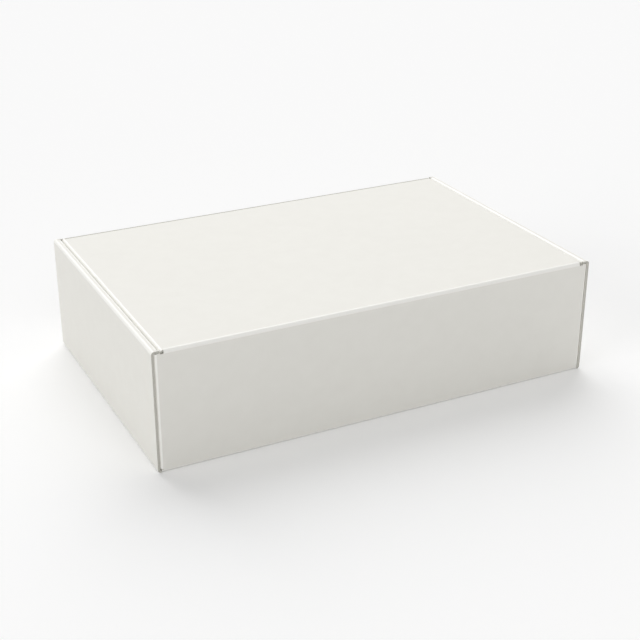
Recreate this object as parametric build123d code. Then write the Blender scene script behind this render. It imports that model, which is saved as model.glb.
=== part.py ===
from build123d import *
import os

# Corrugated mailer box, closed: one die-cut sheet of board, folded up.
# The tray has rolled double side walls that hold the dust flaps between their layers.
# The lid is the same sheet, carried by the crease along the top of the back wall. Its two
# ears go inside the side walls and its tuck flap goes inside the front wall.
#
# Frame: origin under the middle of the base, X along the length, Y from the tucked front
# (-Y) to the hinge wall (+Y), Z up. Millimetres and degrees.

# Overall size, outside, closed.
LENGTH = 365.0
DEPTH = 235.0
HEIGHT = 95.0

# Board and creases.
BOARD = 1.6
INNER_BEND = 0.8

# Air on each side of the dust flaps, inside the rolled walls.
OUTER_PLY_GAP = 0.2
INNER_PLY_GAP = 1.0

# Clearances.
CUT_GAP = 0.3
REST_GAP = 0.2
WALL_GAP = 0.6
LID_GAP = 0.3
TUCK_GAP = 0.4
END_STEP = 0.3
CORNER_RELIEF = 0.3

# Front wall: its cut top edge stands this far under the lid's top face.
FRONT_DROP = 0.8

# Dust flaps, between the layers of the side walls: the space between two flaps' tips.
DUST_FLAP_SPACE = 25.0
DUST_FLAP_CORNER = 14.0

# Lock tabs under the inner side panels, in slots in the base.
TAB_LENGTH = 36.0
TAB_OFFSET = 55.0
TAB_CORNER = 1.0
TAB_RECESS = 0.2

# Ears on the lid's short edges.
EAR_DEPTH = 38.0
EAR_SETBACK = 0.6
EAR_FRONT_TAPER = 14.0
EAR_REAR_TAPER = 6.0
EAR_CORNER = 5.0

# Tuck flap on the lid's front edge: it leans in, so that it clears the front wall.
TUCK_DEPTH = 45.0
TUCK_LEAN = 7.0
TUCK_SIDE_GAP = 1.2
TUCK_CORNER = 16.0

# The lid's crease is shared at its middle: the tray keeps the first half of the bend.
QUARTER = 90.0
HINGE_SPLIT = 45.0

# Worked out from the sizes above.
OUTER_BEND = INNER_BEND + BOARD
MID_BEND = INNER_BEND + BOARD / 2
HALF_LENGTH = LENGTH / 2
HALF_DEPTH = DEPTH / 2
ROLL = 3 * BOARD + OUTER_PLY_GAP + INNER_PLY_GAP
ROLL_INNER = HALF_LENGTH - ROLL
DUST_FACE = HALF_LENGTH - BOARD - OUTER_PLY_GAP
WALL_EDGE = DUST_FACE - OUTER_BEND
EAR_FACE = ROLL_INNER - LID_GAP
LID_EDGE = EAR_FACE - OUTER_BEND
CUT_END = HALF_DEPTH - END_STEP
INNER_END = HALF_DEPTH - BOARD - WALL_GAP
TUCK_FACE = HALF_DEPTH - BOARD - TUCK_GAP
TUCK_CREASE = TUCK_FACE - OUTER_BEND
CREASE_TOP = HEIGHT - OUTER_BEND
UNDER_STRIP = HEIGHT - BOARD - REST_GAP
UNDER_EAR = CREASE_TOP - REST_GAP


def slab(x_range, y_range, z_range):
    """A flat panel, or part of one, between two values on each axis."""
    x_low, x_high = x_range
    y_low, y_high = y_range
    z_low, z_high = z_range
    box = Box(x_high - x_low, y_high - y_low, z_high - z_low, align=(Align.MIN, Align.MIN, Align.MIN))
    return Pos(x_low, y_low, z_low) * box


def bend(start, sweep):
    """Section of a crease about the origin: board bent through sweep degrees."""
    return trace(CenterArc((0, 0), MID_BEND, start, sweep), BOARD)


def along_x(section, centre, x_range):
    """A section drawn in Y and Z, run along X."""
    plane = Plane(origin=(x_range[0], centre[0], centre[1]), x_dir=(0, 1, 0), z_dir=(1, 0, 0))
    return extrude(plane * section, x_range[1] - x_range[0], dir=plane.z_dir)


def along_y(section, centre, y_range):
    """A section drawn in X and Z, run along Y."""
    plane = Plane(origin=(centre[0], y_range[1], centre[1]), x_dir=(1, 0, 0), z_dir=(0, -1, 0))
    return extrude(plane * section, y_range[1] - y_range[0], dir=plane.z_dir)


def along_z(section, centre, z_range):
    """A section drawn in X and Y, run along Z."""
    plane = Plane(origin=(centre[0], centre[1], z_range[0]))
    return extrude(plane * section, z_range[1] - z_range[0], dir=plane.z_dir)


def rounded_panel(points, corners, radius):
    """A flat outline from its points, with the corners listed by number rounded."""
    outline = Polygon(*points, align=None)
    picked = [outline.vertices().sort_by_distance(points[number])[0] for number in corners]
    return fillet(picked, radius)


def both_sides(half):
    """A +X part and its twin at -X."""
    return half + mirror(half, Plane.YZ)


def base_slots():
    """The two slots beside one side wall that take its lock tabs."""
    x_range = (ROLL_INNER - CUT_GAP, ROLL_INNER + BOARD + CUT_GAP)
    half = TAB_LENGTH / 2 + CUT_GAP
    slot = slab(x_range, (-half, half), (0, BOARD))
    return Pos(0, -TAB_OFFSET, 0) * slot + Pos(0, TAB_OFFSET, 0) * slot


def base():
    """The base panel, with its four slots."""
    flat_x = HALF_LENGTH - OUTER_BEND
    flat_y = HALF_DEPTH - OUTER_BEND
    panel = slab((-flat_x, flat_x), (-flat_y, flat_y), (0, BOARD))
    return panel - both_sides(base_slots())


def lock_tab(y):
    """One tab, from the inner side panel's foot down into its slot."""
    low = TAB_RECESS
    high = BOARD + REST_GAP
    half = TAB_LENGTH / 2
    outline = [(y - half, low), (y + half, low), (y + half, high), (y - half, high)]
    panel = rounded_panel(outline, (0, 1), TAB_CORNER)
    return along_x(panel, (0, 0), (ROLL_INNER, ROLL_INNER + BOARD))


def side_wall():
    """The rolled double wall at +X: outer panel, top strip, inner panel and lock tabs."""
    full = (-CUT_END, CUT_END)
    inner = (-INNER_END, INNER_END)
    bend_x = HALF_LENGTH - OUTER_BEND
    strip_x = ROLL_INNER + OUTER_BEND
    wall = along_y(bend(-QUARTER, QUARTER), (bend_x, OUTER_BEND), full)
    wall += slab((HALF_LENGTH - BOARD, HALF_LENGTH), full, (OUTER_BEND, CREASE_TOP))
    wall += along_y(bend(0, QUARTER), (bend_x, CREASE_TOP), full)
    wall += slab((strip_x, bend_x), full, (HEIGHT - BOARD, HEIGHT))
    wall += along_y(bend(QUARTER, QUARTER), (strip_x, CREASE_TOP), inner)
    wall += slab((ROLL_INNER, ROLL_INNER + BOARD), inner, (BOARD + REST_GAP, CREASE_TOP))
    for y in (-TAB_OFFSET, TAB_OFFSET):
        wall += lock_tab(y)
    # Past the inner panel's ends the strip stays flat, up to the cut along its crease.
    for y_range in ((-CUT_END, -INNER_END - CUT_GAP), (INNER_END + CUT_GAP, CUT_END)):
        wall += slab((ROLL_INNER + REST_GAP, strip_x), y_range, (HEIGHT - BOARD, HEIGHT))
    return wall


def dust_flap():
    """The crease and flap at the +X end of the back wall, inside the rolled wall."""
    low = OUTER_BEND + CORNER_RELIEF
    high = HEIGHT - BOARD - WALL_GAP
    root = HALF_DEPTH - OUTER_BEND
    tip = DUST_FLAP_SPACE / 2
    outline = [(root, low), (root, high), (tip, high), (tip, low)]
    panel = rounded_panel(outline, (2, 3), DUST_FLAP_CORNER)
    flap = along_x(panel, (0, 0), (DUST_FACE - BOARD, DUST_FACE))
    return flap + along_z(bend(0, QUARTER), (WALL_EDGE, root), (low, high))


def long_wall(top_middle, shoulder):
    """The back wall: base crease, panel and dust flaps. Its top steps down at shoulder."""
    foot_end = HALF_LENGTH - OUTER_BEND - CUT_GAP
    foot = along_x(bend(-QUARTER, QUARTER), (HALF_DEPTH - OUTER_BEND, OUTER_BEND), (-foot_end, foot_end))
    outline = [(0, OUTER_BEND), (WALL_EDGE, OUTER_BEND), (WALL_EDGE, UNDER_STRIP), *shoulder, (0, top_middle)]
    half = along_y(Polygon(*outline, align=None), (0, 0), (HALF_DEPTH - BOARD, HALF_DEPTH))
    return foot + both_sides(half + dust_flap())


def back_wall():
    """The hinge wall, with the tray's half of the lid's crease along its top."""
    crease_end = LID_EDGE - CUT_GAP
    ear_end = EAR_FACE + LID_GAP / 2
    shoulder = [(ear_end, UNDER_STRIP), (ear_end, UNDER_EAR), (crease_end, UNDER_EAR), (crease_end, CREASE_TOP)]
    crease = bend(0, HINGE_SPLIT)
    wall = long_wall(CREASE_TOP, shoulder)
    return wall + along_x(crease, (HALF_DEPTH - OUTER_BEND, CREASE_TOP), (-crease_end, crease_end))


def front_wall():
    """The front wall, whose plain cut top stands in front of the lid's tucked crease."""
    top = HEIGHT - FRONT_DROP
    strip_end = ROLL_INNER - CUT_GAP
    shoulder = [(strip_end, UNDER_STRIP), (strip_end, top)]
    return mirror(long_wall(top, shoulder), Plane.XZ)


def tray():
    return base() + both_sides(side_wall()) + back_wall() + front_wall()


def ear():
    """The flap along the lid's +X edge."""
    rear = INNER_END
    low = HEIGHT - EAR_DEPTH
    outline = [
        (-TUCK_CREASE, CREASE_TOP),
        (rear, CREASE_TOP),
        (rear - EAR_REAR_TAPER, low),
        (EAR_FRONT_TAPER - TUCK_CREASE, low),
    ]
    panel = rounded_panel(outline, (2, 3), EAR_CORNER)
    crease = along_y(bend(0, QUARTER), (LID_EDGE, CREASE_TOP), (-TUCK_FACE, HALF_DEPTH - EAR_SETBACK))
    return crease + along_x(panel, (0, 0), (EAR_FACE - BOARD, EAR_FACE))


def tuck_flap():
    """The crease and flap along the lid's front edge."""
    crease_end = LID_EDGE - CUT_GAP
    turn = QUARTER + TUCK_LEAN
    crease = along_x(bend(QUARTER, turn), (-TUCK_CREASE, CREASE_TOP), (-crease_end, crease_end))
    # The flap's own plane lies on its outer face, at the end of the bend, with y up the flap.
    plane = Plane(
        origin=(0, -TUCK_CREASE, CREASE_TOP),
        x_dir=(1, 0, 0),
        z_dir=Vector(0, -1, 0).rotate(Axis.X, TUCK_LEAN),
    ).offset(INNER_BEND)
    half = LID_EDGE - TUCK_SIDE_GAP
    length = TUCK_DEPTH - OUTER_BEND
    outline = [(-half, 0), (half, 0), (half, -length), (-half, -length)]
    panel = rounded_panel(outline, (2, 3), TUCK_CORNER)
    return crease + extrude(plane * panel, BOARD, dir=plane.z_dir)


def lid():
    panel = slab((-LID_EDGE, LID_EDGE), (-TUCK_CREASE, HALF_DEPTH - OUTER_BEND), (HEIGHT - BOARD, HEIGHT))
    crease_end = LID_EDGE - CUT_GAP
    crease = bend(HINGE_SPLIT, QUARTER - HINGE_SPLIT)
    hinge = along_x(crease, (HALF_DEPTH - OUTER_BEND, CREASE_TOP), (-crease_end, crease_end))
    return panel + hinge + both_sides(ear()) + tuck_flap()


os.makedirs("parts", exist_ok=True)
export_step(tray(), "parts/tray.step")
export_step(lid(), "parts/lid.step")
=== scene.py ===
import math

import bmesh
import bpy
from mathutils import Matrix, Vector
from mathutils.bvhtree import BVHTree


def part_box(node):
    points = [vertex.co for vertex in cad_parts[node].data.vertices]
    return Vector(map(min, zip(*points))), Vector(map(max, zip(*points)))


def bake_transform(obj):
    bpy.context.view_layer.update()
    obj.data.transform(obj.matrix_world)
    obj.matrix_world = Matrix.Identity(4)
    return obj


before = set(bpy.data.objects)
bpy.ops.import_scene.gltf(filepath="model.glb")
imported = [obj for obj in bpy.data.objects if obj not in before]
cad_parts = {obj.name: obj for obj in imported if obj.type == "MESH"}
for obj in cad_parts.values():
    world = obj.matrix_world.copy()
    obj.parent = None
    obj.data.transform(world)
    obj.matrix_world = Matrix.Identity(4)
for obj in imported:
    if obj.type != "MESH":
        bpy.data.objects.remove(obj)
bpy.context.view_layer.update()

# A closed white mailer box on a pale floor. The two CAD nodes keep their shape and get
# board materials: coated liner on the faces; on the creases a paler liner, partly the
# coating's whitening and partly a painted highlight; on the cut edges grey, partly the paper
# and partly painted shade of the flute hollows. One added piece joins tray and lid at the
# lid's crease.

# The box, in metres, in the frame of the imported model.
HALF_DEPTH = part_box("tray")[1].y
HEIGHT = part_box("tray")[1].z

# Board and creases, as in the model. The side walls' cut ends stand back by END_STEP.
BOARD = 0.0016
OUTER_BEND = 0.0024
END_STEP = 0.0003
FLUTE_PITCH = 0.0033
CUT_END = HALF_DEPTH - END_STEP
LID_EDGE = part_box("lid")[1].x - OUTER_BEND
CREASE_Y = HALF_DEPTH - OUTER_BEND
CREASE_Z = HEIGHT - OUTER_BEND

# How faces are told apart: slots in the board's materials, and the limits between them.
# The crease slot takes the paler liner with its painted highlight, the edge slot the grey with
# painted shade of the flute hollows.
FACE_SLOT, CREASE_SLOT, EDGE_SLOT = 0, 1, 2
STRAIGHT = 0.99
MOSTLY = 0.7
DEEPEST_FACE = 1.2 * BOARD
RAY_START = BOARD / 50
PLANE_SLACK = BOARD / 20
HINGE_SLACK = BOARD / 4

# The strip at the lid's crease: a little inside the board's faces, and short of its ends.
STRIP_STEPS = 24
STRIP_INSET = BOARD / 30
STRIP_HALF = LID_EDGE - BOARD / 2

# Colours, linear.
LINER = (0.868, 0.856, 0.805)
LINER_DARK = (0.854, 0.841, 0.790)
# Paler liner on the creases: partly the coating's whitening, partly a painted highlight.
CREASE_WHITENING_AND_HIGHLIGHT = (0.985, 0.975, 0.930)
CREASE_WHITENING_AND_HIGHLIGHT_DARK = (0.955, 0.945, 0.900)
# Grey of the cut edges: partly the paper, partly painted shade of the flute hollows.
EDGE_PAPER_AND_SHADE = (0.640, 0.630, 0.575)
EDGE_PAPER_AND_SHADE_DARK = (0.480, 0.470, 0.425)
BACKGROUND = (0.947, 0.947, 0.947)
FLOOR = (0.930, 0.930, 0.930)
FLOOR_SEEN = (1.030, 1.030, 1.030)

# Where a mottle starts and ends within its noise.
MOTTLE_START = 0.3
MOTTLE_END = 0.7

# The stage. Suns: name, where each stands from the origin, strength, spread in degrees.
FLOOR_SIZE = 30
WORLD_STRENGTH = 0.40
SUNS = (
    ("back_sun", (-0.25, -1.0, 1.0), 1.66, 60),
    ("side_sun", (1.0, 0.15, 0.35), 0.68, 40),
    ("front_sun", (0.0, 1.0, 0.75), 0.43, 40),
)
CAMERA_PLACE = (0.4274, 0.8599, 0.4777)
CAMERA_BACK = (0.4066, 0.8111, 0.4204)
CAMERA_LENS = 72.1
CAMERA_SENSOR = 36


# ---- shader helpers ----

def new_material(name, roughness, specular):
    """A material with one Principled shader. Returns the material, its node tree and shader."""
    material = bpy.data.materials.new(name)
    material.use_nodes = True
    tree = material.node_tree
    shader = tree.nodes["Principled BSDF"]
    shader.inputs["Roughness"].default_value = roughness
    shader.inputs["Specular IOR Level"].default_value = specular
    return material, tree, shader


def math_node(tree, operation, *values):
    """A Math node. Each value is a socket or a number."""
    node = tree.nodes.new("ShaderNodeMath")
    node.operation = operation
    for socket, value in zip(node.inputs, values):
        if isinstance(value, (int, float)):
            socket.default_value = value
        else:
            tree.links.new(value, socket)
    return node.outputs[0]


def noise(tree, scale, detail):
    """Noise in object space. Returns its value, about 0.5."""
    place = tree.nodes.new("ShaderNodeTexCoord")
    node = tree.nodes.new("ShaderNodeTexNoise")
    node.inputs["Scale"].default_value = scale
    node.inputs["Detail"].default_value = detail
    tree.links.new(place.outputs["Object"], node.inputs["Vector"])
    return node.outputs["Fac"]


def mottle(tree, factor, low, high):
    """A colour between two, by a factor that is stretched about its middle."""
    ramp = tree.nodes.new("ShaderNodeValToRGB")
    start, end = ramp.color_ramp.elements
    start.position, start.color = MOTTLE_START, (*low, 1)
    end.position, end.color = MOTTLE_END, (*high, 1)
    tree.links.new(factor, ramp.inputs["Fac"])
    return ramp.outputs["Color"]


def bump(tree, height, distance, strength, under=None):
    """A bump of that height, on top of another one if it is given."""
    node = tree.nodes.new("ShaderNodeBump")
    node.inputs["Distance"].default_value = distance
    node.inputs["Strength"].default_value = strength
    tree.links.new(height, node.inputs["Height"])
    if under is not None:
        tree.links.new(under, node.inputs["Normal"])
    return node.outputs["Normal"]


def flute_wave(tree):
    """A wave at the flutes' pitch: across X, or across Z on panels that face along X."""
    place = tree.nodes.new("ShaderNodeTexCoord")
    split = tree.nodes.new("ShaderNodeSeparateXYZ")
    tree.links.new(place.outputs["Object"], split.inputs[0])
    geometry = tree.nodes.new("ShaderNodeNewGeometry")
    facing = tree.nodes.new("ShaderNodeSeparateXYZ")
    tree.links.new(geometry.outputs["True Normal"], facing.inputs[0])
    facing_x = math_node(tree, "ABSOLUTE", facing.outputs["X"])
    on_side = math_node(tree, "GREATER_THAN", facing_x, MOSTLY)
    elsewhere = math_node(tree, "SUBTRACT", 1, on_side)
    along_z = math_node(tree, "MULTIPLY", on_side, split.outputs["Z"])
    along_x = math_node(tree, "MULTIPLY", elsewhere, split.outputs["X"])
    along = math_node(tree, "ADD", along_z, along_x)
    turn = math_node(tree, "MULTIPLY", along, 2 * math.pi / FLUTE_PITCH)
    return math_node(tree, "SINE", turn)


# ---- materials ----

def liner_material():
    """Coated white liner: faint mottle, fine fibre, and the flutes just showing through."""
    material, tree, shader = new_material("white_liner", roughness=0.58, specular=0.35)
    colour = mottle(tree, noise(tree, scale=90, detail=4), LINER_DARK, LINER)
    tree.links.new(colour, shader.inputs["Base Color"])
    washboard = bump(tree, flute_wave(tree), distance=0.00001, strength=0.35)
    grain = noise(tree, scale=2600, detail=5)
    fibre = bump(tree, grain, distance=0.00003, strength=0.30, under=washboard)
    tree.links.new(fibre, shader.inputs["Normal"])
    return material


def crease_whitening_and_highlight_material():
    """Liner pressed over a crease: glossier, with fine cracks in the coating, and paler, partly
    from the coating's whitening and partly as a painted highlight.
    """
    material, tree, shader = new_material("crease_whitening_and_highlight", roughness=0.36, specular=0.80)
    colour = mottle(tree, noise(tree, scale=700, detail=5), CREASE_WHITENING_AND_HIGHLIGHT_DARK, CREASE_WHITENING_AND_HIGHLIGHT)
    tree.links.new(colour, shader.inputs["Base Color"])
    cracks = bump(tree, noise(tree, scale=1800, detail=6), distance=0.00005, strength=0.4)
    tree.links.new(cracks, shader.inputs["Normal"])
    return material


def edge_paper_and_shade_material():
    """Cut edge of the board: grey, partly the raw paper and partly painted shade of the flute
    hollows, with coarse fibre.
    """
    material, tree, shader = new_material("cut_edge_paper_and_shade", roughness=0.92, specular=0.1)
    colour = mottle(tree, noise(tree, scale=1400, detail=4), EDGE_PAPER_AND_SHADE_DARK, EDGE_PAPER_AND_SHADE)
    tree.links.new(colour, shader.inputs["Base Color"])
    fibre = bump(tree, noise(tree, scale=2200, detail=3), distance=0.0002, strength=0.6)
    tree.links.new(fibre, shader.inputs["Normal"])
    return material


def seen_directly(tree):
    """1 for rays the camera sends, straight or by way of gloss or glass. 0 for the rest."""
    path = tree.nodes.new("ShaderNodeLightPath")
    seen = math_node(tree, "MAXIMUM", path.outputs["Is Camera Ray"], path.outputs["Is Glossy Ray"])
    return math_node(tree, "MAXIMUM", seen, path.outputs["Is Transmission Ray"])


def floor_material():
    """Pale matt floor, a little paler to look at than in the light that it sends back."""
    material, tree, shader = new_material("pale_floor", roughness=0.95, specular=0.0)
    mix = tree.nodes.new("ShaderNodeMix")
    mix.data_type = "RGBA"
    mix.clamp_result = False
    # Sockets 6 and 7 are the two colours of a Mix node in RGBA mode, and output 2 is its colour.
    mix.inputs[6].default_value = (*FLOOR, 1)
    mix.inputs[7].default_value = (*FLOOR_SEEN, 1)
    tree.links.new(seen_directly(tree), mix.inputs[0])
    tree.links.new(mix.outputs[2], shader.inputs["Base Color"])
    return material


# ---- the board ----

def near_hinge(point):
    """Whether a point lies in the bend that carries the lid."""
    behind = point.y > CREASE_Y - HINGE_SLACK
    above = point.z > CREASE_Z - HINGE_SLACK
    return behind and above and abs(point.x) < LID_EDGE


def hinge_slot(polygon):
    """The slot of a face in the hinge bend: crease on its curves, liner on the split across it."""
    outward = polygon.center - Vector((polygon.center.x, CREASE_Y, CREASE_Z))
    curved = abs(polygon.normal.dot(outward.normalized())) > MOSTLY
    return CREASE_SLOT if curved else FACE_SLOT


def board_slot(polygon, tree):
    """The slot of a face, told by the depth of board under it and by the way it faces."""
    if near_hinge(polygon.center):
        return hinge_slot(polygon)
    inward = -polygon.normal
    depth = tree.ray_cast(polygon.center + inward * RAY_START, inward)[3]
    at_cut_end = abs(abs(polygon.center.y) - CUT_END) < PLANE_SLACK
    if depth is None or depth > DEEPEST_FACE or (at_cut_end and abs(polygon.normal.y) > STRAIGHT):
        return EDGE_SLOT
    slanted = max(abs(value) for value in polygon.normal) < STRAIGHT
    return CREASE_SLOT if slanted else FACE_SLOT


def finish_board(name, materials):
    """Gives a CAD node its three board materials, face by face."""
    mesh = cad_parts[name].data
    mesh.materials.clear()
    for material in materials:
        mesh.materials.append(material)
    corners = [vertex.co for vertex in mesh.vertices]
    tree = BVHTree.FromPolygons(corners, [polygon.vertices for polygon in mesh.polygons])
    for polygon in mesh.polygons:
        polygon.material_index = board_slot(polygon, tree)


def crease_mesh():
    """The lid's crease as one quarter bend of board, from the hinge wall up to the lid."""
    inner = OUTER_BEND - BOARD + STRIP_INSET
    outer = OUTER_BEND - STRIP_INSET
    section = ((-STRIP_HALF, inner), (-STRIP_HALF, outer), (STRIP_HALF, outer), (STRIP_HALF, inner))
    mesh = bmesh.new()
    rings = []
    for step in range(STRIP_STEPS + 1):
        angle = math.pi / 2 * step / STRIP_STEPS
        y, z = math.cos(angle), math.sin(angle)
        rings.append([
            mesh.verts.new((x, CREASE_Y + radius * y, CREASE_Z + radius * z))
            for x, radius in section
        ])
    for one, two in zip(rings, rings[1:]):
        for side in range(len(section)):
            other = (side + 1) % len(section)
            mesh.faces.new((one[side], one[other], two[other], two[side]))
    mesh.faces.new(rings[0])
    mesh.faces.new(reversed(rings[-1]))
    bmesh.ops.recalc_face_normals(mesh, faces=mesh.faces)
    data = bpy.data.meshes.new("hinge_crease")
    mesh.to_mesh(data)
    mesh.free()
    return data


def hinge_strip(material):
    """A strip inside the lid's crease that joins tray and lid."""
    data = crease_mesh()
    data.materials.append(material)
    strip = bpy.data.objects.new("hinge_crease", data)
    bpy.context.scene.collection.objects.link(strip)
    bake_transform(strip)


# ---- the stage ----

def make_floor():
    """A large plane under the box."""
    bpy.ops.mesh.primitive_plane_add(size=FLOOR_SIZE)
    floor = bpy.context.object
    floor.name = "floor"
    floor.data.materials.append(floor_material())


def make_world():
    """Even light from all round, and the background's colour for what the camera sees."""
    world = bpy.data.worlds.new("studio")
    bpy.context.scene.world = world
    world.use_nodes = True
    tree = world.node_tree
    tree.nodes.clear()
    light = tree.nodes.new("ShaderNodeBackground")
    light.inputs["Color"].default_value = (1, 1, 1, 1)
    light.inputs["Strength"].default_value = WORLD_STRENGTH
    seen = tree.nodes.new("ShaderNodeBackground")
    seen.inputs["Color"].default_value = (*BACKGROUND, 1)
    seen.inputs["Strength"].default_value = 1
    mix = tree.nodes.new("ShaderNodeMixShader")
    tree.links.new(seen_directly(tree), mix.inputs[0])
    tree.links.new(light.outputs[0], mix.inputs[1])
    tree.links.new(seen.outputs[0], mix.inputs[2])
    output = tree.nodes.new("ShaderNodeOutputWorld")
    tree.links.new(mix.outputs[0], output.inputs["Surface"])


def make_sun(name, toward, strength, spread):
    """A soft sun that shines from a point towards the origin."""
    data = bpy.data.lights.new(name, "SUN")
    data.energy = strength
    data.angle = math.radians(spread)
    sun = bpy.data.objects.new(name, data)
    sun.rotation_euler = Vector(toward).to_track_quat("Z", "Y").to_euler()
    bpy.context.scene.collection.objects.link(sun)


def make_camera():
    """The camera, above and beyond the corner between the hinge wall and the +X side."""
    data = bpy.data.cameras.new("camera")
    data.sensor_width = CAMERA_SENSOR
    data.lens = CAMERA_LENS
    camera = bpy.data.objects.new("camera", data)
    camera.location = CAMERA_PLACE
    camera.rotation_euler = Vector(CAMERA_BACK).to_track_quat("Z", "Y").to_euler()
    bpy.context.scene.collection.objects.link(camera)
    bpy.context.scene.camera = camera


liner = liner_material()
# crease: the paler liner with its painted highlight on the creases.
crease = crease_whitening_and_highlight_material()
# edge: the grey with painted shade of the flute hollows on the cut edges.
edge = edge_paper_and_shade_material()
for node_name in ("tray", "lid"):
    finish_board(node_name, (liner, crease, edge))
hinge_strip(liner)

make_floor()
make_world()
for sun in SUNS:
    make_sun(*sun)
make_camera()
bpy.context.scene.view_settings.view_transform = "Standard"
